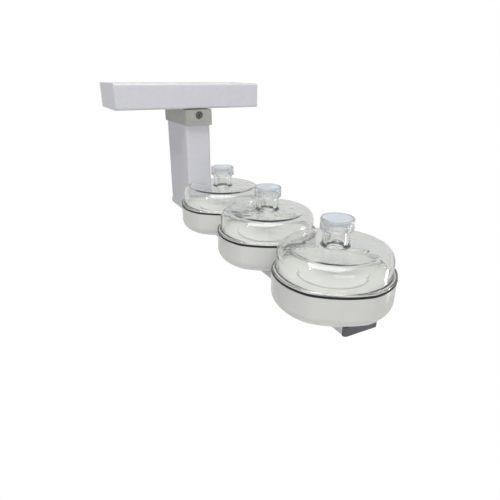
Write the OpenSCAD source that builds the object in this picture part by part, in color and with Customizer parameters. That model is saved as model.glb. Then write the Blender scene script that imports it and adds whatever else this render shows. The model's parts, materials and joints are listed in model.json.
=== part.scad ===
// Three-head light on a drop arm that swivels under an overhead rail.
// +X runs along the rail, the arm points along -Y, and +Z is up.
// The origin is the middle of the bolt pattern on the rail's top face, on the swivel axis.

/* [Rail] */
// Length of the rail section
rail_l = 276; // [260:1:400]
// How far the rail's middle lies to the left of the swivel axis
rail_shift = 13.5; // [0:0.5:15]
// Depth of the rail, front to back
rail_d = 130; // [126:1:160]
// Height of the rail
rail_h = 45; // [40:1:60]
// Wall of the rail profile
rail_wall = 4; // [3:0.5:5]
// Radius of the rail's long outer edges
rail_edge_r = 4; // [2:0.5:6]
// Hole spacing of the rail's fixing pattern, along the rail
rail_bolt_x = 200; // [160:1:220]
// Hole spacing of the rail's fixing pattern, front to back
rail_bolt_y = 80; // [60:1:90]
// Diameter of the rail's fixing holes
rail_bolt_d = 9; // [6:0.5:11]

/* [Swivel] */
// Width of the swivel block
block_w = 52.5; // [52:0.5:60]
// Depth of the swivel block
block_d = 133.5; // [130:0.5:140]
// Height of the swivel block's visible body
block_h = 29; // [24:1:40]
// Thickness of the thrust washer between rail and block
washer_t = 1.5; // [1:0.5:3]
// Diameter of the pivot spindle
spindle_d = 20; // [16:1:22]
// Size of the clamp screw's thread
clamp_d = 8; // [6:1:8]
// Height of the clamp screw above the block's lower face
clamp_z = 18.8; // [16:0.1:20]

/* [Column and arm] */
// Width of the column and of the arm
column_w = 50; // [46:1:50]
// Depth of the column
column_d = 120; // [110:1:124]
// Height from the arm's lower face to the block's lower face
drop_h = 182; // [160:1:260]
// Wall of the column
column_wall = 3; // [2:0.5:3]
// Radius of the column's upright edges
column_edge_r = 6; // [4:0.5:8]
// Length of the arm, measured from the swivel axis to its front end
arm_reach = 553; // [553:1:620]
// Height of the arm
arm_h = 12; // [12:0.5:16]
// Wall of the arm
arm_wall = 2; // [1.5:0.5:2]

/* [Heads] */
// Number of heads on the arm
head_count = 3; // [3]
// Distance from the swivel axis to the first head
head_first = 170.5; // [168:0.5:172]
// Distance between two heads
head_pitch = 161.5; // [158:0.5:163]
// Radius of the bowl's round outline
bowl_r = 75; // [74:0.5:77]
// Distance from the head's axis to the middle of each flat
flat_r = 71.5; // [71.5:0.5:72]
// Half angle that each flat covers
flat_angle = 29; // [26:1:30]
// Height of the bowl
bowl_h = 40.7; // [39:0.1:45]
// Radius of the bowl's lower edge
bowl_edge_r = 15.5; // [12:0.5:18]
// Wall of the bowl
bowl_wall = 2.5; // [2:0.5:3]
// Thickness of the gasket
gasket_t = 3; // [2.4:0.1:3.2]
// Width of the gasket inside the bowl's outline
gasket_w = 2; // [1.8:0.1:2.2]

/* [Dome] */
// Outer radius of the dome's wall
dome_r = 70; // [69:0.5:70]
// Height of the dome above the gasket, up to the crown
dome_h = 32.3; // [30:0.1:36]
// Outer radius of the dome's shoulder
shoulder_r = 14; // [12:0.5:20]
// Glass thickness
glass_t = 4; // [3:0.5:4]
// Outer radius of the neck
neck_r = 16.5; // [14:0.5:16.5]
// Height of the neck above the crown
neck_h = 27.5; // [24:0.5:30]
// Radius of the screw cap
cap_r = 20; // [19.5:0.5:22]
// Height of the screw cap
cap_h = 14; // [13:0.5:16]

/* [Hidden] */
$fn = 96;
run_gap = 0.05;
fit_gap = 0.2;
cut = 1;

// Levels, from the rail's top face downwards
rail_bottom = -rail_h;
rail_floor = rail_bottom + rail_wall;
block_top = rail_bottom - washer_t;
block_bottom = block_top - block_h;
arm_bottom = block_bottom - drop_h;
arm_top = arm_bottom + arm_h;
rim_z = arm_top + bowl_h;
flange_z = rim_z + gasket_t;
crown_z = flange_z + dome_h;
neck_top = crown_z + neck_h;

// Rail and pivot
rail_left = -rail_l / 2 - rail_shift;
rail_right = rail_l / 2 - rail_shift;
cover_t = 3;
cover_plug_l = 6;
cover_plug_wall = 3;
cable_x = 105;
cable_hole_r = 6;
cable_r = 4;
inlet_lip = 2;
plate_t = 6;
plate_w = 60;
plate_d = 110;
plate_corner_r = 4;
plate_screw_x = 18;
plate_screw_y = 45;
plate_screw_d = 6;
plate_hex_r = 2;
hex_depth = 1.5;
spindle_r = spindle_d / 2;
spindle_bore_r = 4.5;
spindle_head_r = 22;
spindle_head_t = 5;
spindle_tail = 2;
thrust_r = 24;
bush_r = 13;
block_edge_r = 1.5;
spigot_h = 20;
nut_room_r = 18.5;
lock_washer_r = 17;
lock_washer_t = 2.5;
lock_nut_af = 30;
lock_nut_t = 8;

// Clamp screw, measured along its own axis from the swivel axis outwards
clamp_level = block_bottom + clamp_z;
clamp_r = clamp_d / 2;
pad_l = 8;
pad_tip = spindle_r + run_gap;
pad_end = spindle_r + pad_l;
clamp_sunk = 1.5;
clamp_front = block_d / 2 - clamp_sunk;
head_ratio = 1.625;
key_ratio = 0.75;
clamp_head_r = head_ratio * clamp_r;
clamp_seat_gap = 0.8;
clamp_seat_r = clamp_head_r + clamp_seat_gap;
clamp_seat_depth = clamp_sunk + clamp_d + fit_gap;
clamp_hex_r = key_ratio * clamp_r / cos(30);
clamp_hex_depth = clamp_d / 2;

// Column
inner_w = column_w - 2 * column_wall;
inner_d = column_d - 2 * column_wall;
inner_edge_r = column_edge_r - column_wall;
foot_plate_t = 8;
m5_r = 2.5;
m5_hex_r = 1.7;
side_screw_l = 9;
side_screw_level = block_bottom - spigot_h / 2;
side_screw_y = 40;
back_screw_x = 12;
foot_screw_x = 8;
foot_screw_y = 40;
foot_screw_grip = 6;
foot_screw_l = arm_h + foot_screw_grip;
driver_w = 30;
driver_d = 70;
driver_h = 95;
driver_corner_r = 3;
driver_lift = 20;
driver_z = arm_top + foot_plate_t + driver_lift;

// Arm
arm_back = column_d / 2;
arm_front = -arm_reach;
arm_edge_r = 2;
end_plate_t = 5;
end_edge_r = 4;
plug_l = 8;
end_plug_l = 10;
core_w = 24;
core_h = arm_h - 2 * arm_wall;
core_gap = 2;
core_start = arm_front + end_plate_t + end_plug_l + core_gap;
cable_side = 16.5;
grommet_r = 5;
grommet_wall = 2;
wire_r = grommet_r - grommet_wall;

// Head
floor_t = 3;
rim_w = 3;
rim_h = 4;
head_turns = [0, 120, 240];
half_turn = 60;
corner_x = bowl_r * cos(flat_angle);
corner_y = bowl_r * sin(flat_angle);
flat_rise = flat_r - corner_x;
flat_arc_r = (corner_y * corner_y + flat_rise * flat_rise) / (2 * flat_rise);
post_r = 4.5;
post_ring_r = 62;
boss_r = 4;
boss_gap = 1;
boss_ring_r = 40;
bowl_screw_y = 24;
bowl_screw_z = arm_bottom + arm_wall + 1;
bowl_screw_head_r = 4.5;
bowl_screw_head_h = 3;
m3_r = 1.5;
m3_hole_r = 1.6;
m3_head_r = 2.8;
m3_head_h = 2;
m3_grip = 6;
m3_pilot = 8;
sink_r = 50;
sink_base_t = 4;
fin_t = 2;
fin_pitch = 8;
fin_h = 12;
sink_z = arm_top + floor_t + fin_h;
board_z = sink_z + sink_base_t;
board_r = 46;
board_t = 1.6;
led_size = 3;
led_h = 0.8;
led_ring_r = 26;
led_count = 12;
plate_inset = 3.4;
plate_sheet_t = 2;
plate_drop = 1.5;
plate_top = rim_z - plate_drop;
window_r = 40;
disc_r = 44;
disc_t = 2;
flange_t = 2.5;
gasket_out = 0.3;
lip_r = flat_r - rim_w - fit_gap;
lip_drop = 3;
neck_fillet = 2;
neck_land_r = 17;
neck_land_h = 8.5;
neck_bore_r = 11;
liner_t = 2.4;
cap_roof_t = 3.5;
cap_roof = neck_top + liner_t + 2 * run_gap;
cap_top = cap_roof + cap_roof_t;
cap_edge_r = 1.2;

HEAD_PARTS = ["bowl", "gasket", "heat_sink", "light_board", "floor_plate", "diffuser",
              "dome", "liner", "cap"];

// Colours
c_paint = [0.82, 0.82, 0.86];
c_block = [0.74, 0.73, 0.68];
c_dark = [0.25, 0.25, 0.27];
c_steel = [0.70, 0.71, 0.73];
c_brass = [0.75, 0.60, 0.30];
c_white = [0.93, 0.93, 0.91];
c_black = [0.05, 0.05, 0.05];
c_glass = [0.85, 0.90, 0.90, 0.35];
c_cap = [0.86, 0.89, 0.95];
c_board = [0.90, 0.92, 0.90];

// Helpers

module rounded_rect(w, h, r) {
    square([w - 2 * r, h], center = true);
    square([w, h - 2 * r], center = true);
    for (x = [-1, 1])
        for (y = [-1, 1])
            translate([x * (w / 2 - r), y * (h / 2 - r)]) circle(r);
}

module along_x(x0, x1) {
    translate([x0, 0, 0]) rotate([90, 0, 90]) linear_extrude(x1 - x0) children();
}

module along_y(y0, y1) {
    translate([0, y1, 0]) rotate([90, 0, 0]) linear_extrude(y1 - y0) children();
}

// Turns a child that is drawn along +Z so that it points to the front
module forward(level) {
    translate([0, 0, level]) rotate([90, 0, 0]) children();
}

module ring(r_out, r_in, h) {
    difference() {
        cylinder(r = r_out, h = h);
        translate([0, 0, -cut]) cylinder(r = r_in, h = h + 2 * cut);
    }
}

module four(x, y) {
    for (sx = [-1, 1])
        for (sy = [-1, 1])
            translate([sx * x, sy * y, 0]) children();
}

// A countersunk screw that points up from the origin, with its flat head at z = 0
module countersunk(r, l) {
    cylinder(r1 = 2 * r, r2 = r, h = r);
    cylinder(r = r, h = l);
}

module at_heads() {
    for (i = [1 : head_count]) at_head(i) children();
}

module at_head(i) {
    translate([0, -head_first - (i - 1) * head_pitch, 0]) children();
}

// Three places midway between the flats, which face right, back left and front left
module at_turns(radius) {
    for (turn = head_turns) rotate([0, 0, turn + half_turn]) translate([radius, 0, 0]) children();
}

// A disc with a rounded lower edge
module edged_disc(r, h, edge) {
    rotate_extrude() {
        translate([0, edge]) square([r, h - edge]);
        square([r - edge, h]);
        intersection() {
            translate([r - edge, edge]) circle(edge);
            square([r, h]);
        }
    }
}

// Centre of the large circle that bulges through the middle and both corners of one flat
module at_flat(turn) {
    rotate([0, 0, turn]) translate([flat_r - flat_arc_r, 0, 0]) children();
}

// The head's outline, set in by a margin: round, with three slightly bulged flats
module head_outline(inset) {
    intersection() {
        circle(bowl_r - inset);
        at_flat(0) circle(flat_arc_r - inset);
        at_flat(120) circle(flat_arc_r - inset);
        at_flat(240) circle(flat_arc_r - inset);
    }
}

module head_slab(inset, h) {
    linear_extrude(h) head_outline(inset);
}

// A solid of the head's outline with a rounded lower edge
module head_tub(inset, h, edge) {
    intersection() {
        edged_disc(bowl_r - inset, h, edge);
        at_flat(0) edged_disc(flat_arc_r - inset, h, edge);
        at_flat(120) edged_disc(flat_arc_r - inset, h, edge);
        at_flat(240) edged_disc(flat_arc_r - inset, h, edge);
    }
}

// Rail and pivot

module rail() {
    color(c_paint)
        difference() {
            along_x(rail_left, rail_right) translate([0, -rail_h / 2])
                rounded_rect(rail_d, rail_h, rail_edge_r);
            translate([rail_left - cut, -rail_d / 2 + rail_wall, rail_floor])
                cube([rail_l + 2 * cut, rail_d - 2 * rail_wall, rail_h - 2 * rail_wall]);
            translate([0, 0, -rail_wall - cut]) four(rail_bolt_x / 2, rail_bolt_y / 2)
                cylinder(d = rail_bolt_d, h = rail_wall + 2 * cut);
            translate([cable_x, 0, -rail_wall - cut])
                cylinder(r = cable_hole_r, h = rail_wall + 2 * cut);
            translate([0, 0, rail_bottom - cut])
                cylinder(r = spindle_r + run_gap, h = rail_wall + 2 * cut);
            translate([0, 0, rail_bottom]) four(plate_screw_x, plate_screw_y) plate_screw_hole();
        }
}

module plate_screw_hole() {
    translate([0, 0, -cut]) cylinder(d = plate_screw_d + 2 * run_gap, h = rail_wall + 2 * cut);
    cylinder(r1 = plate_screw_d + run_gap, r2 = plate_screw_d / 2 + run_gap, h = plate_screw_d / 2);
    translate([0, 0, -cut]) cylinder(r = plate_screw_d + run_gap, h = cut + run_gap / 2);
}

module rail_cover_at(x0, plug_from) {
    room_d = rail_d - 2 * rail_wall;
    room_h = rail_h - 2 * rail_wall;
    color(c_paint) {
        along_x(x0, x0 + cover_t) translate([0, -rail_h / 2])
            rounded_rect(rail_d, rail_h, rail_edge_r);
        along_x(plug_from, plug_from + cover_plug_l) translate([0, -rail_h / 2]) difference() {
            square([room_d - fit_gap, room_h - fit_gap], center = true);
            square([room_d - 2 * cover_plug_wall, room_h - 2 * cover_plug_wall], center = true);
        }
    }
}

module rail_cover_left() {
    rail_cover_at(rail_left - cover_t, rail_left);
}

module rail_cover_right() {
    rail_cover_at(rail_right, rail_right - cover_plug_l);
}

module cable_inlet() {
    color(c_black) translate([cable_x, 0, -rail_wall]) difference() {
        union() {
            cylinder(r = cable_hole_r - run_gap, h = rail_wall);
            translate([0, 0, -inlet_lip]) cylinder(r = cable_hole_r + inlet_lip, h = inlet_lip);
        }
        translate([0, 0, -inlet_lip - cut]) cylinder(r = cable_r, h = rail_wall + inlet_lip + 2 * cut);
    }
}

module backing_plate() {
    color(c_steel) translate([0, 0, rail_floor]) difference() {
        linear_extrude(plate_t) rounded_rect(plate_w, plate_d, plate_corner_r);
        translate([0, 0, -cut]) cylinder(r = spindle_r + run_gap, h = plate_t + 2 * cut);
        translate([0, 0, -cut]) four(plate_screw_x, plate_screw_y)
            cylinder(d = plate_screw_d + 2 * run_gap, h = plate_t + 2 * cut);
    }
}

module plate_screws() {
    color(c_steel) translate([0, 0, rail_bottom]) four(plate_screw_x, plate_screw_y) difference() {
        countersunk(plate_screw_d / 2, rail_wall + plate_t);
        translate([0, 0, -cut]) cylinder(r = plate_hex_r, h = cut + hex_depth, $fn = 6);
    }
}

module pivot_spindle() {
    top = rail_floor + plate_t;
    foot = block_bottom - lock_washer_t - lock_nut_t - spindle_tail;
    color(c_steel) difference() {
        union() {
            translate([0, 0, foot]) cylinder(r = spindle_r, h = top - foot + spindle_head_t);
            translate([0, 0, top]) cylinder(r = spindle_head_r, h = spindle_head_t);
        }
        translate([0, 0, foot - cut])
            cylinder(r = spindle_bore_r, h = top - foot + spindle_head_t + 2 * cut);
    }
}

module thrust_washer() {
    color(c_dark) translate([0, 0, block_top + 2 * run_gap])
        ring(thrust_r, spindle_r + run_gap, washer_t - 2 * run_gap);
}

module lock_washer() {
    color(c_steel) translate([0, 0, block_bottom - lock_washer_t - 2 * run_gap])
        ring(lock_washer_r, spindle_r + run_gap, lock_washer_t);
}

module lock_nut() {
    color(c_steel) translate([0, 0, block_bottom - lock_washer_t - lock_nut_t - 2 * run_gap])
        difference() {
            cylinder(d = lock_nut_af / cos(30), h = lock_nut_t, $fn = 6);
            translate([0, 0, -cut]) cylinder(r = spindle_r + run_gap, h = lock_nut_t + 2 * cut);
        }
}

// Swivel block and clamp

module swivel_block() {
    color(c_block) difference() {
        union() {
            translate([0, 0, block_bottom]) linear_extrude(block_h)
                rounded_rect(block_w, block_d, block_edge_r);
            translate([0, 0, block_bottom - spigot_h]) linear_extrude(spigot_h)
                rounded_rect(inner_w - fit_gap, inner_d - fit_gap, inner_edge_r);
        }
        translate([0, 0, block_bottom - cut]) cylinder(r = bush_r, h = block_h + 2 * cut);
        translate([0, 0, block_bottom - spigot_h - cut]) cylinder(r = nut_room_r, h = spigot_h + cut);
        forward(clamp_level) cylinder(r = clamp_r + run_gap, h = block_d / 2 + cut);
        forward(clamp_level) translate([0, 0, block_d / 2 - clamp_seat_depth])
            cylinder(r = clamp_seat_r, h = clamp_seat_depth + cut);
        side_screw_places() translate([0, 0, column_wall + fit_gap / 2 - cut])
            cylinder(r = m5_r + run_gap, h = side_screw_l + cut - column_wall);
    }
}

module pivot_bush() {
    color(c_brass) difference() {
        translate([0, 0, block_bottom]) cylinder(r = bush_r - run_gap, h = block_h);
        translate([0, 0, block_bottom - cut]) cylinder(r = spindle_r + run_gap, h = block_h + 2 * cut);
        forward(clamp_level) cylinder(r = clamp_r + run_gap, h = bush_r + cut);
    }
}

module clamp_pad() {
    color(c_brass) forward(clamp_level) translate([0, 0, pad_tip])
        cylinder(r = clamp_r, h = pad_end - pad_tip);
}

module clamp_screw() {
    color(c_dark) forward(clamp_level) difference() {
        union() {
            translate([0, 0, pad_end + run_gap])
                cylinder(r = clamp_r, h = clamp_front - clamp_hex_depth - pad_end - run_gap);
            translate([0, 0, clamp_front - clamp_d]) cylinder(r = clamp_head_r, h = clamp_d);
        }
        translate([0, 0, clamp_front - clamp_hex_depth])
            cylinder(r = clamp_hex_r, h = clamp_hex_depth + cut, $fn = 6);
    }
}

// Column

// Places the countersunk screws of the column's right side and back, pointing inwards
module side_screw_places() {
    for (y = [-1, 1])
        translate([column_w / 2, y * side_screw_y, side_screw_level]) rotate([0, -90, 0]) children();
    for (x = [-1, 1])
        translate([x * back_screw_x, column_d / 2, side_screw_level]) rotate([90, 0, 0]) children();
}

module column() {
    color(c_paint) difference() {
        translate([0, 0, arm_top]) linear_extrude(block_bottom - arm_top)
            rounded_rect(column_w, column_d, column_edge_r);
        translate([0, 0, arm_top - cut]) linear_extrude(block_bottom - arm_top + 2 * cut)
            rounded_rect(inner_w, inner_d, inner_edge_r);
        side_screw_places() {
            translate([0, 0, -run_gap]) cylinder(r1 = 2 * m5_r + run_gap, r2 = m5_r + run_gap, h = m5_r);
            translate([0, 0, -cut]) cylinder(r = m5_r + run_gap, h = column_wall + 2 * cut);
        }
    }
}

module column_screws() {
    color(c_steel) side_screw_places() difference() {
        countersunk(m5_r, side_screw_l);
        translate([0, 0, -cut]) cylinder(r = m5_hex_r, h = cut + hex_depth, $fn = 6);
    }
}

module foot_plate() {
    color(c_steel) translate([0, 0, arm_top]) difference() {
        linear_extrude(foot_plate_t)
            rounded_rect(inner_w - fit_gap, inner_d - fit_gap, inner_edge_r);
        translate([0, 0, -cut]) four(foot_screw_x, foot_screw_y)
            cylinder(r = m5_r + run_gap, h = foot_plate_t + 2 * cut);
        translate([cable_side, 0, -cut]) cylinder(r = grommet_r, h = foot_plate_t + 2 * cut);
    }
}

module foot_screws() {
    color(c_steel) translate([0, 0, arm_bottom]) four(foot_screw_x, foot_screw_y) difference() {
        countersunk(m5_r, foot_screw_l);
        translate([0, 0, -cut]) cylinder(r = m5_hex_r, h = cut + hex_depth, $fn = 6);
    }
}

module light_driver() {
    color(c_dark) translate([0, 0, driver_z]) linear_extrude(driver_h)
        rounded_rect(driver_w, driver_d, driver_corner_r);
}

// Arm

module arm_bore_pattern(r, h) {
    four(foot_screw_x, foot_screw_y) cylinder(r = r, h = h);
    at_heads()
        for (y = [-1, 1]) translate([0, y * bowl_screw_y, 0]) cylinder(r = r, h = h);
}

module cable_places() {
    translate([cable_side, 0, 0]) children();
    at_heads() translate([cable_side, 0, 0]) children();
}

module arm() {
    color(c_paint) difference() {
        translate([0, 0, arm_bottom + arm_h / 2]) along_y(arm_front + end_plate_t, arm_back)
            rounded_rect(column_w, arm_h, arm_edge_r);
        translate([-column_w / 2 + arm_wall, arm_front, arm_bottom + arm_wall])
            cube([column_w - 2 * arm_wall, arm_back - arm_front + cut, core_h]);
        translate([0, 0, arm_bottom + arm_wall]) arm_bore_pattern(m5_r + run_gap, arm_h);
        translate([0, 0, arm_bottom]) four(foot_screw_x, foot_screw_y) {
            translate([0, 0, -cut]) cylinder(r = m5_r + run_gap, h = arm_h + 2 * cut);
            translate([0, 0, -run_gap])
                cylinder(r1 = 2 * m5_r + 2 * run_gap, r2 = m5_r + run_gap, h = m5_r + run_gap);
        }
        translate([0, 0, arm_top - arm_wall - cut]) cable_places()
            cylinder(r = grommet_r, h = arm_wall + 2 * cut);
    }
}

module core_bar() {
    color(c_steel) difference() {
        translate([-core_w / 2, core_start, arm_bottom + arm_wall])
            cube([core_w, arm_back - plug_l - core_start, core_h]);
        translate([0, 0, arm_bottom]) arm_bore_pattern(m5_r + run_gap, arm_h);
        translate([0, 0, arm_bottom]) four(foot_screw_x, foot_screw_y)
            cylinder(r1 = 2 * m5_r + 2 * run_gap, r2 = m5_r + run_gap, h = m5_r + run_gap);
    }
}

module arm_rear_plug() {
    color(c_paint) translate([0, arm_back - plug_l, arm_bottom + arm_wall]) {
        translate([-column_w / 2 + arm_wall + fit_gap / 2, 0, 0])
            cube([column_w - 2 * arm_wall - fit_gap, plug_l, core_h]);
    }
}

module arm_end_cap() {
    color(c_dark) {
        translate([0, arm_front, arm_bottom]) linear_extrude(arm_h) {
            translate([-column_w / 2, end_edge_r]) square([column_w, end_plate_t - end_edge_r]);
            translate([-column_w / 2 + end_edge_r, 0]) square([column_w - 2 * end_edge_r, end_plate_t]);
            for (x = [-1, 1])
                translate([x * (column_w / 2 - end_edge_r), end_edge_r]) intersection() {
                    circle(end_edge_r);
                    translate([-end_edge_r, -end_edge_r]) square([2 * end_edge_r, end_edge_r]);
                }
        }
        translate([-column_w / 2 + arm_wall + fit_gap / 2, arm_front + end_plate_t, arm_bottom + arm_wall])
            cube([column_w - 2 * arm_wall - fit_gap, end_plug_l, core_h]);
    }
}

module arm_grommets() {
    color(c_black) translate([0, 0, arm_top - arm_wall]) cable_places() difference() {
        cylinder(r = grommet_r - run_gap, h = arm_wall + floor_t);
        translate([0, 0, -cut]) cylinder(r = wire_r, h = arm_wall + floor_t + 2 * cut);
    }
}

module bowl_screws() {
    shank_l = arm_top + floor_t - bowl_screw_z;
    color(c_steel) translate([0, 0, bowl_screw_z]) at_heads()
        for (y = [-1, 1]) translate([0, y * bowl_screw_y, 0]) {
            cylinder(r = m5_r, h = shank_l);
            translate([0, 0, shank_l]) cylinder(r = bowl_screw_head_r, h = bowl_screw_head_h);
        }
}

module board_screws() {
    shank_l = m3_grip + sink_base_t + board_t;
    color(c_steel) at_heads() at_turns(boss_ring_r) translate([0, 0, sink_z - m3_grip]) {
        cylinder(r = m3_r, h = shank_l);
        translate([0, 0, shank_l]) cylinder(r = m3_head_r, h = m3_head_h);
    }
}

// Head

module bowl() {
    color(c_white) difference() {
        union() {
            difference() {
                union() {
                    translate([0, 0, arm_top]) head_tub(0, bowl_h, bowl_edge_r);
                    translate([0, 0, rim_z - cut])
                        head_slab(gasket_w + fit_gap, cut + gasket_t - fit_gap);
                }
                translate([0, 0, arm_top + floor_t])
                    head_tub(bowl_wall, bowl_h - floor_t - rim_h, bowl_edge_r - bowl_wall);
                translate([0, 0, rim_z - rim_h - cut]) head_slab(rim_w, rim_h + gasket_t + 2 * cut);
            }
            at_turns(post_ring_r) translate([0, 0, arm_top + cut])
                cylinder(r = post_r, h = plate_top - plate_sheet_t - arm_top - cut);
            at_turns(boss_ring_r) translate([0, 0, arm_top + cut])
                cylinder(r = boss_r, h = sink_z - arm_top - cut);
        }
        at_turns(boss_ring_r) translate([0, 0, sink_z - m3_pilot])
            cylinder(r = m3_r + run_gap, h = m3_pilot + cut);
        for (y = [-1, 1])
            translate([0, y * bowl_screw_y, arm_top - cut])
                cylinder(r = m5_r + run_gap, h = floor_t + 2 * cut);
        translate([cable_side, 0, arm_top - cut]) cylinder(r = grommet_r, h = floor_t + 2 * cut);
    }
}

module gasket() {
    color(c_black) translate([0, 0, rim_z]) difference() {
        head_slab(-gasket_out, gasket_t);
        translate([0, 0, -cut]) head_slab(gasket_w, gasket_t + 2 * cut);
    }
}

module heat_sink() {
    fin_count = floor(sink_r / fin_pitch);
    color(c_steel) difference() {
        union() {
            translate([0, 0, sink_z]) cylinder(r = sink_r, h = sink_base_t);
            intersection() {
                translate([0, 0, sink_z - fin_h]) cylinder(r = sink_r, h = fin_h + cut);
                for (i = [-fin_count : fin_count])
                    translate([i * fin_pitch - fin_t / 2, -sink_r, sink_z - fin_h])
                        cube([fin_t, 2 * sink_r, fin_h + cut]);
            }
        }
        at_turns(boss_ring_r) translate([0, 0, sink_z - fin_h - cut])
            cylinder(r = boss_r + boss_gap, h = fin_h + cut);
        at_turns(boss_ring_r) translate([0, 0, sink_z - cut])
            cylinder(r = m3_hole_r, h = sink_base_t + 2 * cut);
        for (y = [-1, 1])
            translate([0, y * bowl_screw_y, sink_z - fin_h - cut])
                cylinder(r = bowl_screw_head_r + boss_gap, h = fin_h + cut);
        translate([cable_side, 0, sink_z - fin_h - cut])
            cylinder(r = wire_r, h = fin_h + sink_base_t + 2 * cut);
    }
}

module light_board() {
    color(c_board) translate([0, 0, board_z]) {
        difference() {
            cylinder(r = board_r, h = board_t);
            at_turns(boss_ring_r) translate([0, 0, -cut])
                cylinder(r = m3_hole_r, h = board_t + 2 * cut);
            translate([cable_side, 0, -cut]) cylinder(r = wire_r, h = board_t + 2 * cut);
        }
        for (i = [0 : led_count - 1])
            rotate([0, 0, (i + 0.5) * 360 / led_count])
                translate([led_ring_r - led_size / 2, -led_size / 2, board_t / 2])
                    cube([led_size, led_size, board_t / 2 + led_h]);
    }
}

module floor_plate() {
    color(c_white) translate([0, 0, plate_top - plate_sheet_t]) difference() {
        head_slab(plate_inset, plate_sheet_t);
        translate([0, 0, -cut]) cylinder(r = window_r, h = plate_sheet_t + 2 * cut);
    }
}

module diffuser() {
    color(c_white) translate([0, 0, plate_top]) cylinder(r = disc_r, h = disc_t);
}

module dome_profile(r, h, edge) {
    square([r, h - edge]);
    square([r - edge, h]);
    intersection() {
        translate([r - edge, h - edge]) circle(edge);
        square([r, h]);
    }
}

module dome() {
    inner_r = dome_r - glass_t;
    color(c_glass) difference() {
        union() {
            translate([0, 0, flange_z]) head_slab(0, flange_t);
            translate([0, 0, flange_z - lip_drop]) cylinder(r = lip_r, h = lip_drop + cut);
            translate([0, 0, flange_z]) rotate_extrude() {
                dome_profile(dome_r, dome_h, shoulder_r);
                square([neck_r, dome_h + neck_h]);
                translate([0, dome_h + neck_h - neck_land_h]) square([neck_land_r, neck_land_h]);
                difference() {
                    translate([0, dome_h - cut]) square([neck_r + neck_fillet, neck_fillet + cut]);
                    translate([neck_r + neck_fillet, dome_h + neck_fillet]) circle(neck_fillet);
                }
            }
        }
        translate([0, 0, flange_z]) rotate_extrude()
            dome_profile(inner_r, dome_h - glass_t, shoulder_r - glass_t);
        translate([0, 0, flange_z - lip_drop - cut]) cylinder(r = inner_r, h = lip_drop + 2 * cut);
        translate([0, 0, flange_z]) cylinder(r = neck_bore_r, h = dome_h + neck_h + cut);
    }
}

module liner() {
    color(c_white) translate([0, 0, neck_top + run_gap])
        cylinder(r = neck_land_r - run_gap, h = liner_t);
}

module cap() {
    color(c_cap) difference() {
        translate([0, 0, cap_top]) mirror([0, 0, 1]) edged_disc(cap_r, cap_h, cap_edge_r);
        translate([0, 0, cap_top - cap_h - cut])
            cylinder(r = neck_land_r + run_gap, h = cap_h + cut - (cap_top - cap_roof));
    }
}

rail();
rail_cover_left();
rail_cover_right();
cable_inlet();
backing_plate();
plate_screws();
pivot_spindle();
thrust_washer();
lock_washer();
lock_nut();
swivel_block();
pivot_bush();
clamp_pad();
clamp_screw();
column();
column_screws();
foot_plate();
foot_screws();
light_driver();
arm();
core_bar();
arm_rear_plug();
arm_end_cap();
arm_grommets();
bowl_screws();
board_screws();
for (i = [1 : head_count]) {
    at_head(i) bowl();
    at_head(i) gasket();
    at_head(i) heat_sink();
    at_head(i) light_board();
    at_head(i) floor_plate();
    at_head(i) diffuser();
    at_head(i) dome();
    at_head(i) liner();
    at_head(i) cap();
}
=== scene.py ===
"""Looks of a three-head light on a drop arm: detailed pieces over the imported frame, materials, light, camera."""
import json
import math

import bmesh
import bpy
from mathutils import Matrix, Vector


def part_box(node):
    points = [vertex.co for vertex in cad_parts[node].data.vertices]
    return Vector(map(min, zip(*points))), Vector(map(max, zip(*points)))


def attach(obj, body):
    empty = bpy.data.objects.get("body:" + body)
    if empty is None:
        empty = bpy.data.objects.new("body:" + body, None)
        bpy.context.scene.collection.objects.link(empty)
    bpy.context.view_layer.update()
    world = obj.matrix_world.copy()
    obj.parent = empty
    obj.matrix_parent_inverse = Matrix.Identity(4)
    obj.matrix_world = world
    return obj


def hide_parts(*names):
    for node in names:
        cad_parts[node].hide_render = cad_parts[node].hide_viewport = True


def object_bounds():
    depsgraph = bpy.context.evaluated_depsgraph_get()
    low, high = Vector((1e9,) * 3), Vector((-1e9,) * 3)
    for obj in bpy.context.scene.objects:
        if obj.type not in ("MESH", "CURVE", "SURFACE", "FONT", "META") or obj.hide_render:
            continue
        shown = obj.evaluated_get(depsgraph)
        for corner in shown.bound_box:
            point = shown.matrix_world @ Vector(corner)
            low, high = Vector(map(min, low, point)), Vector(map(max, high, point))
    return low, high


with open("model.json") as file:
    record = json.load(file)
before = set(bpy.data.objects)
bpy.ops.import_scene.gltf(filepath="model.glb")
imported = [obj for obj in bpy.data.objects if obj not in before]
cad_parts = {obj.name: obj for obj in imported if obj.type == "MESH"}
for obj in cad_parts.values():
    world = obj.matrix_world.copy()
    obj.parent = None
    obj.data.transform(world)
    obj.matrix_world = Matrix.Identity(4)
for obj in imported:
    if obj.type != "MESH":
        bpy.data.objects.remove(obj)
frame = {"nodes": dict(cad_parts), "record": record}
CAD_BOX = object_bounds()

MM = 0.001
HEADS = (1, 2, 3)
SLOT_OF = {part["node"]: part["material_slot"] for part in frame["record"]["subparts"]}
BODY_OF = {node: body for body, nodes in frame["record"]["behaviour"]["bodies"].items() for node in nodes}

# Camera, in the frame's metres and degrees
CAMERA_PLACE = Vector((-0.3056, -0.8503, 0.0149))
CAMERA_YAW = 28.11
CAMERA_PITCH = 22.81
CAMERA_ROLL = 0.50
CAMERA_LENS = 29.93
CAMERA_SENSOR = 36.0
CAMERA_NEAREST = 0.01

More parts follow.
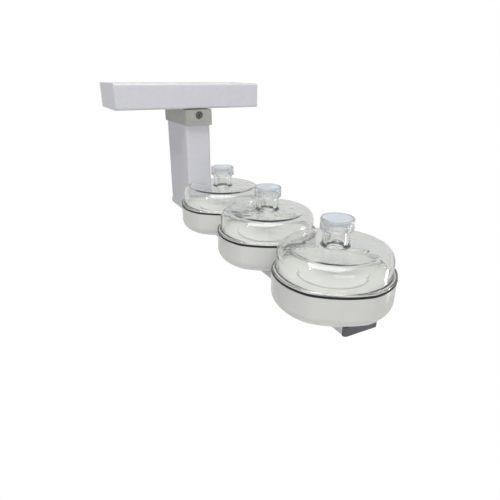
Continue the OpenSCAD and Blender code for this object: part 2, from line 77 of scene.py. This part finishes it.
# Lamps, in metres and watts; each is aimed at the middle head unless it says where
LAMPS = {
    "overhead": dict(place_at=(-0.3, -0.5, 1.6), width=1.6, height=1.6, power=32),
    "front_fill": dict(place_at=(-0.6, -2.4, 0.4), width=1.4, height=1.2, power=17, mirrored=False),
    "left_spot": dict(place_at=(-1.5, -0.5, 1.0), width=0.14, height=0.14, power=3),
    "right_strip": dict(place_at=(1.2, -0.8, -0.60), width=0.08, height=0.40, power=1.2,
                        aim=(0, -0.45, -0.18)),
}

# Studio: what lights matt surfaces, what glass and gloss show, and what the camera sees
SKY_GIVEN = (0.17, 0.17, 0.175, 1)
SKY_LOW = (0.15, (0.70, 0.70, 0.69))
SKY_HIGH = (0.9, (0.40, 0.40, 0.40))
WHITE = (1, 1, 1, 1)
FLOOR_GREY = (0.8, 0.8, 0.8, 1)
FLOOR_ROUGHNESS = 0.9
FLOOR_GLOW = 0.13
FLOOR_SHOWN = 0.70
FLOOR_SEEN = 1.0
FLOOR_DROP = 0.75
FLOOR_SIZE = 60.0

# Meshes: what counts as zero and as being on a wall, angles in degrees, and points for round things
TINY = 1e-6
NEAR = 0.01 * MM
SHARP_ANGLE = 40.0
EDGE_ANGLE = 50.0
EDGE_SEGMENTS = 3
DISC_POINTS = 120
WINDOW_POINTS = 160
POINTS_PER_RIDGE = 6

# Materials: noise sizes and details, where mottling turns from dark to light, and shader settings
GRAINS_PER_MOTTLE = 12
GRAINS_PER_HAZE = 5
MOTTLE_DETAIL = 4.0
HAZE_DETAIL = 3.0
GRAIN_DETAIL = 2.0
MOTTLE_DARK = 0.3
MOTTLE_LIGHT = 0.7
COAT_ROUGHNESS = 0.08
BEVEL_SAMPLES = 4

# Head outline: a circle with three slightly bulged flats, and more points near their corners, in degrees
FLAT_TURNS = (0.0, 120.0, 240.0)
FLAT_HALF_ANGLE = 29.0
CORNER_SOFTNESS = 0.35 * MM
OUTLINE_POINTS = 192
CORNER_STEP = 0.3
CORNER_STEPS = 4

# Dome
DOME_WALL_R = 70 * MM
DOME_SHOULDER_R = 14 * MM
GLASS_T = 4 * MM
DOME_LIP_R = 67.8 * MM
DOME_LIP_H = 3 * MM
NECK_R = 16.5 * MM
NECK_H = 27.5 * MM
NECK_FILLET = 2 * MM
NECK_BORE_R = 11 * MM
FLANGE_T = 2.5 * MM
FLANGE_FILLET = 1.8 * MM
LAND_H = 8.5 * MM
LAND_PROUD = 0.5 * MM
THREAD_DEPTH = 0.9 * MM
THREAD_PITCH = 4 * MM
THREAD_STEP = 0.4 * MM
THREAD_FADE = 1.5 * MM
THREAD_FULLNESS = 0.7

# Bowl and what lies in it
BOWL_WALL = 2.5 * MM
BOWL_FLOOR = 3 * MM
BOWL_EDGE_R = 15.5 * MM
RIM_W = 3 * MM
RIM_H = 4 * MM
LIP_INSET = 2.2 * MM
GASKET_INSET = 2 * MM
WINDOW_R = 40 * MM

# Screw cap
CAP_MEMBRANE = 0.6 * MM
CAP_BORE_GAP = 0.05 * MM
CAP_EDGE_R = 1.2 * MM
CAP_STEP = 0.7 * MM
CAP_FLUTES = 60
FLUTE_DEPTH = 0.3 * MM
FLUTE_FOOT_FADE = 1.5 * MM
FLUTE_TOP_FADE = 1.0 * MM
FLUTE_TOP_MARGIN = 2.2 * MM

# Clamp screw
SCREW_HEAD_L = 8 * MM
SCREW_SHANK_R = 4 * MM
SCREW_CHAMFER_W = 0.8 * MM
SCREW_CHAMFER_L = 1.0 * MM
SCREW_HEX_R = 3.46 * MM
SCREW_HEX_DEPTH = 4 * MM
SCREW_HEX_LEAD_W = 0.5 * MM
SCREW_HEX_LEAD_L = 0.4 * MM
SCREW_HEX_POINT = 0.8 * MM
KNURL_COUNT = 36
KNURL_DEPTH = 0.2 * MM
KNURL_MARGIN = 0.5 * MM

# Arm end cap
END_CORNER_R = 4 * MM
END_CORNER_POINTS = 7
END_EDGE = 0.8 * MM


# ------------------------------------------------------------------ places from the frame

def centre_of(node):
    low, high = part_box(node)
    return (low + high) / 2


HEAD_AT = {i: centre_of(f"cap_{i}") for i in HEADS}
BOWL_LOW, BOWL_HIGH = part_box("bowl_1")
ROUND_R = HEAD_AT[1].x - BOWL_LOW.x
FLAT_R = BOWL_HIGH.x - HEAD_AT[1].x
FLAT_CORNER = math.radians(FLAT_HALF_ANGLE)
CORNER = Vector((math.cos(FLAT_CORNER), math.sin(FLAT_CORNER))) * ROUND_R
FLAT_RISE = FLAT_R - CORNER.x
FLAT_ARC_R = (CORNER.y ** 2 + FLAT_RISE ** 2) / (2 * FLAT_RISE)
FLAT_CENTRE = FLAT_R - FLAT_ARC_R


def at_head(i, level):
    """On the axis of head i, at a level."""
    return Matrix.Translation((HEAD_AT[i].x, HEAD_AT[i].y, level))


def measured(i, node):
    """A round node's reach from the axis of head i, its height, and the level it stands on."""
    low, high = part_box(node)
    return HEAD_AT[i].x - low.x, high.z - low.z, low.z


# ------------------------------------------------------------------ outlines and profiles

def soft_min(a, b, softness):
    """The smaller of two values, with their crossing rounded off."""
    return min(a, b) - max(softness - abs(a - b), 0.0) ** 2 / (4 * softness)


def head_outline(angle, radius):
    """Reach of the head's outline at an angle, for a ring whose round part has this radius."""
    inset = ROUND_R - radius
    reach = radius
    for turn in FLAT_TURNS:
        a = angle - math.radians(turn)
        side = FLAT_CENTRE * math.sin(a)
        across = FLAT_CENTRE * math.cos(a) + math.sqrt(max((FLAT_ARC_R - inset) ** 2 - side ** 2, 0.0))
        reach = soft_min(reach, across, CORNER_SOFTNESS)
    return reach


def hexagon(angle, radius):
    """Reach of a hexagon at an angle, from the reach of its corners."""
    sixth = math.pi / 3
    return radius * math.cos(sixth / 2) / math.cos(angle % sixth - sixth / 2)


def head_angles():
    """Angles round a head, closer together near the corners of its flats."""
    angles = {round(360.0 * i / OUTLINE_POINTS, 3) for i in range(OUTLINE_POINTS)}
    for turn in FLAT_TURNS:
        for side in (-1, 1):
            for step in range(-CORNER_STEPS, CORNER_STEPS + 1):
                angles.add(round((turn + side * FLAT_HALF_ANGLE + step * CORNER_STEP) % 360.0, 3))
    return [math.radians(a) for a in sorted(angles)]


def even_angles(count):
    return [2 * math.pi * i / count for i in range(count)]


def rounded(corners, closed=True, segments=6):
    """A path of (r, z, share) through corners given as (r, z, fillet, share), with each corner rounded."""
    path = []
    last = len(corners)
    for i, (r, z, fillet, share) in enumerate(corners):
        at = Vector((r, z))
        if fillet <= 0 or (not closed and i in (0, last - 1)):
            path.append((r, z, share))
            continue
        before = (Vector(corners[i - 1][:2]) - at).normalized()
        after = (Vector(corners[(i + 1) % last][:2]) - at).normalized()
        half = before.angle(after) / 2
        centre = at + (before + after).normalized() * fillet / math.sin(half)
        start = at + before * fillet / math.tan(half) - centre
        end = at + after * fillet / math.tan(half) - centre
        sweep = start.angle_signed(end)
        for k in range(segments + 1):
            a = -sweep * k / segments
            spoke = Vector((start.x * math.cos(a) - start.y * math.sin(a),
                            start.x * math.sin(a) + start.y * math.cos(a)))
            path.append((centre.x + spoke.x, centre.y + spoke.y, share))
    return path


def finer(path, low, high, step):
    """The path with extra points on its upright stretches between two levels."""
    out = []
    for a, b in zip(path, path[1:] + path[:1]):
        out.append(a)
        upright = abs(a[0] - b[0]) < TINY and min(a[1], b[1]) >= low and max(a[1], b[1]) <= high
        count = int(abs(a[1] - b[1]) / step) if upright else 0
        for k in range(1, count):
            out.append((a[0], a[1] + (b[1] - a[1]) * k / count, a[2]))
    return out


# ------------------------------------------------------------------ meshes

def finished(name, bm):
    """The object of a bmesh, with outward normals and smooth shading up to the sharp angle."""
    bmesh.ops.recalc_face_normals(bm, faces=bm.faces)
    mesh = bpy.data.meshes.new(name)
    bm.to_mesh(mesh)
    bm.free()
    mesh.shade_smooth()
    mesh.set_sharp_from_angle(angle=math.radians(SHARP_ANGLE))
    piece = bpy.data.objects.new(name, mesh)
    bpy.context.scene.collection.objects.link(piece)
    weighted = piece.modifiers.new("normals", "WEIGHTED_NORMAL")
    weighted.keep_sharp = True
    return piece


def turned(name, path, angles, closed=True, outline=None, relief=None):
    """An object turned from a path of (r, z, share); share says how far each ring follows the outline."""
    bm = bmesh.new()
    rings = []
    for r, z, share in path:
        if r < TINY:
            rings.append([bm.verts.new((0, 0, z))])
            continue
        ring = []
        for angle in angles:
            reach = r if not share else (1 - share) * r + share * outline(angle, r)
            reach += relief(angle, r, z) if relief else 0.0
            ring.append(bm.verts.new((reach * math.cos(angle), reach * math.sin(angle), z)))
        rings.append(ring)
    for a, b in zip(rings, rings[1:] + (rings[:1] if closed else [])):
        for i in range(len(angles)):
            j = (i + 1) % len(angles)
            if len(a) == 1 and len(b) == 1:
                continue
            if len(a) == 1:
                bm.faces.new((a[0], b[j], b[i]))
            elif len(b) == 1:
                bm.faces.new((a[i], a[j], b[0]))
            else:
                bm.faces.new((a[i], a[j], b[j], b[i]))
    return finished(name, bm)


def flat_disc(name, radius, low, high, low_edge, high_edge, count):
    """A round disc between two levels, with a fillet on each edge."""
    path = rounded([
        (0, low, 0, 0),
        (radius, low, low_edge, 0),
        (radius, high, high_edge, 0),
        (0, high, 0, 0),
    ], closed=False)
    return turned(name, path, even_angles(count), closed=False)


def flat_ring(name, outer, inner, inner_share, height, edge, angles):
    """A ring that follows the head's outline on its outside and, by its share, on its inside."""
    path = rounded([
        (outer, 0, edge, 1),
        (outer, height, edge, 1),
        (inner, height, edge, inner_share),
        (inner, 0, edge, inner_share),
    ])
    return turned(name, path, angles, outline=head_outline)


def prism(name, outline, low, high, edge):
    """An upright prism of a flat outline, with its edges rounded."""
    bm = bmesh.new()
    bottom = [bm.verts.new((x, y, low)) for x, y in outline]
    top = [bm.verts.new((x, y, high)) for x, y in outline]
    bm.faces.new(bottom[::-1])
    bm.faces.new(top)
    for i in range(len(outline)):
        j = (i + 1) % len(outline)
        bm.faces.new((bottom[i], bottom[j], top[j], top[i]))
    piece = finished(name, bm)
    bevel = piece.modifiers.new("edges", "BEVEL")
    bevel.width = edge
    bevel.segments = EDGE_SEGMENTS
    bevel.limit_method = "ANGLE"
    bevel.angle_limit = math.radians(EDGE_ANGLE)
    piece.modifiers.move(1, 0)
    return piece


def place(piece, node, at, material=None):
    """Puts a piece over the CAD node it replaces, on its body, with its slot's material or a named one."""
    piece.data.transform(at)
    piece.data.materials.append(MATERIALS[material or SLOT_OF[node]])
    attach(piece, BODY_OF[node])
    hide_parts(node)


# ------------------------------------------------------------------ shader helpers

def set_inputs(node, **values):
    """Sets sockets by name, with an underscore for each space in the name."""
    for socket, value in values.items():
        node.inputs[socket.replace("_", " ")].default_value = value
    return node


def add_node(tree, kind, **values):
    return set_inputs(tree.nodes.new(kind), **values)


def new_material(name):
    material = bpy.data.materials.new(name)
    material.use_nodes = True
    return material, material.node_tree, material.node_tree.nodes["Principled BSDF"]


def colour_ramp(tree, fac, *stops):
    """A colour between two stops, each a position and a colour."""
    ramp = tree.nodes.new("ShaderNodeValToRGB")
    for element, (position, colour) in zip(ramp.color_ramp.elements, stops):
        element.position = position
        element.color = (*colour, 1)
    tree.links.new(fac, ramp.inputs["Fac"])
    return ramp.outputs["Color"]


def split_rays(tree, kind, others, these):
    """A shader that is one thing to rays of a kind, such as Is Camera Ray, and another to all others."""
    path = tree.nodes.new("ShaderNodeLightPath")
    mix = tree.nodes.new("ShaderNodeMixShader")
    tree.links.new(path.outputs[kind], mix.inputs["Fac"])
    tree.links.new(others, mix.inputs[1])
    tree.links.new(these, mix.inputs[2])
    return mix.outputs["Shader"]


def noise_of(tree, scale, detail, stretch=(1, 1, 1)):
    """A noise over the object's own coordinates, with its scale in cells per metre."""
    coords = tree.nodes.new("ShaderNodeTexCoord")
    mapping = add_node(tree, "ShaderNodeMapping", Scale=stretch)
    tree.links.new(coords.outputs["Object"], mapping.inputs["Vector"])
    noise = add_node(tree, "ShaderNodeTexNoise", Scale=scale, Detail=detail)
    tree.links.new(mapping.outputs["Vector"], noise.inputs["Vector"])
    return noise.outputs["Fac"]


def vary_colour(tree, shader, light, dark, fac):
    mottled = colour_ramp(tree, fac, (MOTTLE_DARK, dark), (MOTTLE_LIGHT, light))
    tree.links.new(mottled, shader.inputs["Base Color"])


def vary_roughness(tree, shader, low, high, fac):
    spread = add_node(tree, "ShaderNodeMapRange", To_Min=low, To_Max=high)
    tree.links.new(fac, spread.inputs["Value"])
    tree.links.new(spread.outputs["Result"], shader.inputs["Roughness"])


def add_bump(tree, shader, fac, depth, edge=0.0):
    """Relief of a real depth in metres, over edges that look rounded by the edge radius."""
    bump = add_node(tree, "ShaderNodeBump", Strength=1.0, Distance=depth)
    tree.links.new(fac, bump.inputs["Height"])
    if edge:
        bevel = add_node(tree, "ShaderNodeBevel", Radius=edge)
        bevel.samples = BEVEL_SAMPLES
        tree.links.new(bevel.outputs["Normal"], bump.inputs["Normal"])
    tree.links.new(bump.outputs["Normal"], shader.inputs["Normal"])


# ------------------------------------------------------------------ materials

def surface(name, light, dark, rough, grain, depth, metallic=0.0, coat=0.0, edge=0.0, stretch=(1, 1, 1)):
    """An opaque material: mottled colour, uneven roughness and a fine relief of its own grain."""
    material, tree, shader = new_material(name)
    set_inputs(shader, Metallic=metallic, Coat_Weight=coat, Coat_Roughness=COAT_ROUGHNESS)
    vary_colour(tree, shader, light, dark, noise_of(tree, grain / GRAINS_PER_MOTTLE, MOTTLE_DETAIL))
    vary_roughness(tree, shader, *rough, noise_of(tree, grain / GRAINS_PER_HAZE, HAZE_DETAIL, stretch))
    add_bump(tree, shader, noise_of(tree, grain, GRAIN_DETAIL, stretch), depth, edge)
    return material


def see_through(name, transmission, ior, light, dark, rough, mottle, haze, ripple, depth, tint):
    """A clear or frosted material, with noises as (scale, detail) and a tint for the light it lets by."""
    material, tree, shader = new_material(name)
    set_inputs(shader, Transmission_Weight=transmission, IOR=ior)
    vary_colour(tree, shader, light, dark, noise_of(tree, *mottle))
    vary_roughness(tree, shader, *rough, noise_of(tree, *haze))
    add_bump(tree, shader, noise_of(tree, *ripple), depth)
    clear = add_node(tree, "ShaderNodeBsdfTransparent", Color=(*tint, 1))
    passing = split_rays(tree, "Is Shadow Ray", shader.outputs["BSDF"], clear.outputs["BSDF"])
    tree.links.new(passing, tree.nodes["Material Output"].inputs["Surface"])
    return material


SURFACES = {
    "paint": dict(light=(0.70, 0.70, 0.745), dark=(0.67, 0.67, 0.715), rough=(0.34, 0.44), grain=1400,
                  depth=0.02 * MM, coat=0.15, edge=0.6 * MM),
    "paint_plastic": dict(light=(0.70, 0.70, 0.745), dark=(0.67, 0.67, 0.715), rough=(0.38, 0.48), grain=900,
                          depth=0.02 * MM, edge=0.6 * MM),
    "block": dict(light=(0.45, 0.45, 0.42), dark=(0.40, 0.40, 0.372), rough=(0.38, 0.52), grain=1100,
                  depth=0.04 * MM, metallic=0.15, edge=0.7 * MM),
    "dark_plastic": dict(light=(0.13, 0.13, 0.14), dark=(0.10, 0.10, 0.11), rough=(0.42, 0.55), grain=900,
                         depth=0.03 * MM),
    "steel": dict(light=(0.62, 0.62, 0.63), dark=(0.50, 0.50, 0.51), rough=(0.22, 0.36), grain=1500,
                  depth=0.01 * MM, metallic=1.0, edge=0.3 * MM, stretch=(1, 1, 8)),
    "black_steel": dict(light=(0.20, 0.20, 0.20), dark=(0.12, 0.12, 0.12), rough=(0.25, 0.4), grain=1500,
                        depth=0.02 * MM, metallic=0.6),
    "bronze": dict(light=(0.60, 0.42, 0.20), dark=(0.46, 0.31, 0.14), rough=(0.25, 0.4), grain=1200,
                   depth=0.01 * MM, metallic=1.0),
    "washer_plastic": dict(light=(0.08, 0.08, 0.08), dark=(0.05, 0.05, 0.05), rough=(0.45, 0.6), grain=700,
                           depth=0.02 * MM),
    "seal": dict(light=(0.010, 0.010, 0.010), dark=(0.006, 0.006, 0.006), rough=(0.55, 0.7), grain=900,
                 depth=0.03 * MM),
    "driver_case": dict(light=(0.30, 0.31, 0.32), dark=(0.24, 0.25, 0.26), rough=(0.4, 0.55), grain=600,
                        depth=0.03 * MM),
    "white_plastic": dict(light=(0.70, 0.70, 0.665), dark=(0.675, 0.675, 0.64), rough=(0.14, 0.22), grain=260,
                          depth=0.03 * MM, coat=0.2),
    "floor": dict(light=(0.43, 0.43, 0.41), dark=(0.41, 0.41, 0.39), rough=(0.30, 0.42), grain=350,
                  depth=0.03 * MM),
    "diffuser": dict(light=(0.445, 0.445, 0.43), dark=(0.42, 0.42, 0.405), rough=(0.42, 0.55), grain=700,
                     depth=0.02 * MM),
    "raw_aluminium": dict(light=(0.66, 0.66, 0.67), dark=(0.55, 0.55, 0.56), rough=(0.3, 0.45), grain=900,
                          depth=0.02 * MM, metallic=1.0),
    "board": dict(light=(0.78, 0.80, 0.78), dark=(0.70, 0.73, 0.70), rough=(0.35, 0.5), grain=600,
                  depth=0.02 * MM),
    "core_plastic": dict(light=(0.43, 0.455, 0.49), dark=(0.40, 0.425, 0.46), rough=(0.28, 0.4), grain=700,
                         depth=0.02 * MM),
}

# Pressed clear glass with the slow waviness of its surface, and frosted, faintly blue polypropylene
CLEAR = {
    "clear_glass": dict(transmission=1.0, ior=1.49, light=(0.985, 0.990, 0.985), dark=(0.955, 0.965, 0.955),
                        rough=(0.0, 0.03), mottle=(25, 3.0), haze=(60, 4.0), ripple=(55, 1.0),
                        depth=0.4 * MM, tint=(0.93, 0.94, 0.93)),
    "cap_plastic": dict(transmission=0.94, ior=1.38, light=(0.95, 0.96, 0.97), dark=(0.91, 0.925, 0.94),
                        rough=(0.06, 0.14), mottle=(180, 3.0), haze=(300, 3.0), ripple=(900, 2.0),
                        depth=0.02 * MM, tint=(0.75, 0.78, 0.82)),
}

MATERIALS = {name: surface(name, **values) for name, values in SURFACES.items()}
MATERIALS.update({name: see_through(name, **values) for name, values in CLEAR.items()})


def dress_frame():
    """Gives every CAD node its slot's material."""
    for name, node in frame["nodes"].items():
        for slot in node.material_slots:
            slot.material = MATERIALS[SLOT_OF[name]]


# ------------------------------------------------------------------ pieces of one head

def bowl(i, angles):
    _, lip, level = measured(i, f"bowl_{i}")
    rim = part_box(f"gasket_{i}")[0].z - level
    ceiling = rim - RIM_H
    wall_r = ROUND_R - BOWL_WALL
    path = rounded([
        (0, 0, 0, 0),
        (ROUND_R, 0, BOWL_EDGE_R, 1),
        (ROUND_R, rim, 0.5 * MM, 1),
        (ROUND_R - LIP_INSET, rim, 0.1 * MM, 1),
        (ROUND_R - LIP_INSET, lip, 0.4 * MM, 1),
        (ROUND_R - RIM_W, lip, 0.4 * MM, 1),
        (ROUND_R - RIM_W, ceiling, 0.4 * MM, 1),
        (wall_r, ceiling, 0.4 * MM, 1),
        (wall_r, BOWL_FLOOR, BOWL_EDGE_R - BOWL_WALL, 1),
        (0, BOWL_FLOOR, 0, 0),
    ], closed=False, segments=10)
    shell = turned(f"bowl_shell_{i}", path, angles, closed=False, outline=head_outline)
    place(shell, f"bowl_{i}", at_head(i, level))


def gasket(i, angles):
    reach, height, level = measured(i, f"gasket_{i}")
    ring = flat_ring(f"gasket_ring_{i}", reach, ROUND_R - GASKET_INSET, 1, height, 0.7 * MM, angles)
    place(ring, f"gasket_{i}", at_head(i, level))


def floor_plate(i, angles):
    reach, height, level = measured(i, f"floor_plate_{i}")
    sheet = flat_ring(f"floor_sheet_{i}", reach, WINDOW_R, 0, height, 0.4 * MM, angles)
    place(sheet, f"floor_plate_{i}", at_head(i, level))


def diffuser(i):
    reach, height, level = measured(i, f"diffuser_{i}")
    window = flat_disc(f"light_window_{i}", reach, 0, height, 0.2 * MM, 1.2 * MM, WINDOW_POINTS)
    place(window, f"diffuser_{i}", at_head(i, level))


def dome(i, angles):
    """The clear dome, with its levels counted from the underside of its flange."""
    low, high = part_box(f"dome_{i}")
    foot = low.z + DOME_LIP_H
    top = high.z - foot
    crown = top - NECK_H
    land = top - LAND_H
    land_r = NECK_R + LAND_PROUD
    inner_r = DOME_WALL_R - GLASS_T

    def thread(angle, r, z):
        if abs(r - land_r) > NEAR or not land < z < top:
            return 0.0
        fade = min((z - land) / THREAD_FADE, (top - z) / THREAD_FADE, 1.0)
        wave = 0.5 - 0.5 * math.cos(2 * math.pi * ((z - land) / THREAD_PITCH) - angle)
        return -THREAD_DEPTH * wave ** THREAD_FULLNESS * fade

    path = rounded([
        (DOME_LIP_R, -DOME_LIP_H, 0.6 * MM, 0),
        (DOME_LIP_R, 0, 0.3 * MM, 0),
        (ROUND_R, 0, 0.6 * MM, 1),
        (ROUND_R, FLANGE_T, 0.7 * MM, 1),
        (DOME_WALL_R, FLANGE_T, FLANGE_FILLET, 0),
        (DOME_WALL_R, crown, DOME_SHOULDER_R, 0),
        (NECK_R, crown, NECK_FILLET, 0),
        (NECK_R, land, 0.6 * MM, 0),
        (land_r, land, 0.6 * MM, 0),
        (land_r, top, 0.6 * MM, 0),
        (NECK_BORE_R, top, 0.8 * MM, 0),
        (NECK_BORE_R, crown - GLASS_T, 2.0 * MM, 0),
        (inner_r, crown - GLASS_T, DOME_SHOULDER_R - GLASS_T, 0),
        (inner_r, -DOME_LIP_H, 0.6 * MM, 0),
    ], segments=8)
    path = finer(path, land, top, THREAD_STEP)
    glass = turned(f"dome_glass_{i}", path, angles, outline=head_outline, relief=thread)
    place(glass, f"dome_{i}", at_head(i, foot))


def cap(i):
    """The fluted screw cap, its opaque core and the sealing liner under it."""
    reach, height, level = measured(i, f"cap_{i}")
    liner_r, liner_h, liner_level = measured(i, f"liner_{i}")
    bore = liner_r + CAP_BORE_GAP
    roof = liner_level + liner_h - level + CAP_BORE_GAP
    ceiling = height - CAP_MEMBRANE

    def flutes(angle, r, z):
        if r < reach - NEAR:
            return 0.0
        fade = min(z / FLUTE_FOOT_FADE, (height - FLUTE_TOP_MARGIN - z) / FLUTE_TOP_FADE, 1.0)
        return -FLUTE_DEPTH * max(fade, 0.0) * abs(math.cos(CAP_FLUTES / 2 * angle))

    path = rounded([
        (0, height, 0, 0),
        (reach, height, CAP_EDGE_R, 0),
        (reach, 0, 0.5 * MM, 0),
        (bore, 0, 0.3 * MM, 0),
        (bore, ceiling, 0.2 * MM, 0),
        (0, ceiling, 0, 0),
    ], closed=False)
    path = finer(path, 0, height, CAP_STEP)
    shell = turned(f"cap_shell_{i}", path, even_angles(POINTS_PER_RIDGE * CAP_FLUTES), closed=False,
                   relief=flutes)
    place(shell, f"cap_{i}", at_head(i, level))
    core = flat_disc(f"cap_core_{i}", bore - 2 * CAP_BORE_GAP, roof, ceiling - CAP_BORE_GAP, 0.4 * MM, 0.5 * MM,
                     DISC_POINTS)
    place(core, f"cap_{i}", at_head(i, level), material="core_plastic")
    liner = flat_disc(f"liner_disc_{i}", liner_r, 0, liner_h, 0.4 * MM, 0.4 * MM, DISC_POINTS)
    place(liner, f"liner_{i}", at_head(i, liner_level))


# ------------------------------------------------------------------ clamp screw and end cap

def clamp_screw():
    """The knurled socket screw, turned upright from its tip and then laid along -Y."""
    low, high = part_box("clamp_screw")
    middle = (low + high) / 2
    length = high.y - low.y
    head_r = (high.x - low.x) / 2
    shoulder = length - SCREW_HEAD_L

    def knurl(angle, r, z):
        if abs(r - head_r) > NEAR or z < shoulder + KNURL_MARGIN:
            return 0.0
        return -KNURL_DEPTH * abs(math.sin(KNURL_COUNT * angle / 2))

    path = rounded([
        (0, 0, 0, 0),
        (SCREW_SHANK_R, 0, 0.4 * MM, 0),
        (SCREW_SHANK_R, shoulder, 0.3 * MM, 0),
        (head_r, shoulder, 0.3 * MM, 0),
        (head_r, length - SCREW_CHAMFER_L, 0, 0),
        (head_r - SCREW_CHAMFER_W, length, 0, 0),
        (SCREW_HEX_R + SCREW_HEX_LEAD_W, length, 0, 0),
        (SCREW_HEX_R, length - SCREW_HEX_LEAD_L, 0, 1),
        (SCREW_HEX_R, length - SCREW_HEX_DEPTH, 0, 1),
        (0, length - SCREW_HEX_DEPTH - SCREW_HEX_POINT, 0, 0),
    ], closed=False)
    screw = turned("clamp_socket_screw", path, even_angles(POINTS_PER_RIDGE * KNURL_COUNT), closed=False,
                   outline=hexagon, relief=knurl)
    laid = Matrix.Translation((middle.x, high.y, middle.z)) @ Matrix.Rotation(math.radians(90), 4, "X")
    place(screw, "clamp_screw", laid)


def end_cap():
    """The plate over the arm's end, its free corners rounded in plan."""
    low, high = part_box("arm_end_cap")
    outline = [(low.x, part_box("arm")[0].y), (low.x, low.y + END_CORNER_R)]
    for k in range(END_CORNER_POINTS):
        a = math.radians(180 + 90 / (END_CORNER_POINTS - 1) * k)
        outline.append((low.x + END_CORNER_R * (1 + math.cos(a)), low.y + END_CORNER_R * (1 + math.sin(a))))
    outline += [(-x, y) for x, y in outline[::-1]]
    plate = prism("arm_end_plate", outline, low.z, high.z, END_EDGE)
    place(plate, "arm_end_cap", Matrix.Identity(4))


# ------------------------------------------------------------------ stage

def camera():
    yaw, pitch, roll = (math.radians(a) for a in (CAMERA_YAW, CAMERA_PITCH, CAMERA_ROLL))
    ahead = Vector((math.sin(yaw) * math.cos(pitch), math.cos(yaw) * math.cos(pitch), -math.sin(pitch)))
    level = Vector((math.cos(yaw), -math.sin(yaw), 0))
    upright = level.cross(ahead)
    right = level * math.cos(roll) + upright * math.sin(roll)
    up = upright * math.cos(roll) - level * math.sin(roll)
    data = bpy.data.cameras.new("camera")
    data.lens = CAMERA_LENS
    data.sensor_width = CAMERA_SENSOR
    data.clip_start = CAMERA_NEAREST
    eye = bpy.data.objects.new("camera", data)
    eye.matrix_world = Matrix.Translation(CAMERA_PLACE) @ Matrix((right, up, -ahead)).transposed().to_4x4()
    bpy.context.scene.collection.objects.link(eye)
    bpy.context.scene.camera = eye


def lamp(name, place_at, width, height, power, aim=None, mirrored=True):
    """A soft rectangular lamp; one that is not mirrored lights matt surfaces but doesn't show in gloss."""
    data = bpy.data.lights.new(name, "AREA")
    data.shape = "RECTANGLE"
    data.size = width
    data.size_y = height
    data.energy = power
    light = bpy.data.objects.new(name, data)
    light.visible_glossy = mirrored
    light.location = place_at
    towards = (Vector(aim) if aim else HEAD_AT[2]) - Vector(place_at)
    light.rotation_euler = towards.to_track_quat("-Z", "Y").to_euler()
    bpy.context.scene.collection.objects.link(light)


def studio_sky():
    """A pale studio: white behind, pale for glass and gloss to show, softer grey for the light it gives."""
    sky = bpy.data.worlds.new("studio")
    bpy.context.scene.world = sky
    sky.use_nodes = True
    tree = sky.node_tree
    given = set_inputs(tree.nodes["Background"], Color=SKY_GIVEN)
    coords = tree.nodes.new("ShaderNodeTexCoord")
    split = tree.nodes.new("ShaderNodeSeparateXYZ")
    tree.links.new(coords.outputs["Generated"], split.inputs["Vector"])
    shown = add_node(tree, "ShaderNodeBackground", Strength=1.0)
    tree.links.new(colour_ramp(tree, split.outputs["Z"], SKY_LOW, SKY_HIGH), shown.inputs["Color"])
    seen = add_node(tree, "ShaderNodeBackground", Color=WHITE, Strength=1.0)
    unseen = split_rays(tree, "Is Diffuse Ray", shown.outputs["Background"], given.outputs["Background"])
    whole = split_rays(tree, "Is Camera Ray", unseen, seen.outputs["Background"])
    tree.links.new(whole, tree.nodes["World Output"].inputs["Surface"])


def studio_floor():
    """A wide floor: white to the camera, pale in glass and gloss, and a lit grey for what it gives back."""
    level = CAD_BOX[0].z - FLOOR_DROP
    half = FLOOR_SIZE / 2
    bm = bmesh.new()
    corners = ((-half, -half), (half, -half), (half, half), (-half, half))
    bm.faces.new([bm.verts.new((x, y, level)) for x, y in corners])
    ground = finished("floor", bm)
    material, tree, shader = new_material("floor_white")
    set_inputs(shader, Base_Color=FLOOR_GREY, Roughness=FLOOR_ROUGHNESS, Emission_Color=WHITE,
               Emission_Strength=FLOOR_GLOW)
    path = tree.nodes.new("ShaderNodeLightPath")
    brightness = add_node(tree, "ShaderNodeMapRange", To_Min=FLOOR_SHOWN, To_Max=FLOOR_SEEN)
    tree.links.new(path.outputs["Is Camera Ray"], brightness.inputs["Value"])
    seen = add_node(tree, "ShaderNodeEmission", Color=WHITE)
    tree.links.new(brightness.outputs["Result"], seen.inputs["Strength"])
    whole = split_rays(tree, "Is Diffuse Ray", seen.outputs["Emission"], shader.outputs["BSDF"])
    tree.links.new(whole, tree.nodes["Material Output"].inputs["Surface"])
    ground.data.materials.append(material)


camera()
studio_sky()
studio_floor()
for lamp_name, lamp_values in LAMPS.items():
    lamp(lamp_name, **lamp_values)
bpy.context.scene.view_settings.view_transform = "Standard"

dress_frame()
outline_angles = head_angles()
for head in HEADS:
    bowl(head, outline_angles)
    gasket(head, outline_angles)
    floor_plate(head, outline_angles)
    diffuser(head)
    dome(head, outline_angles)
    cap(head)
clamp_screw()
end_cap()
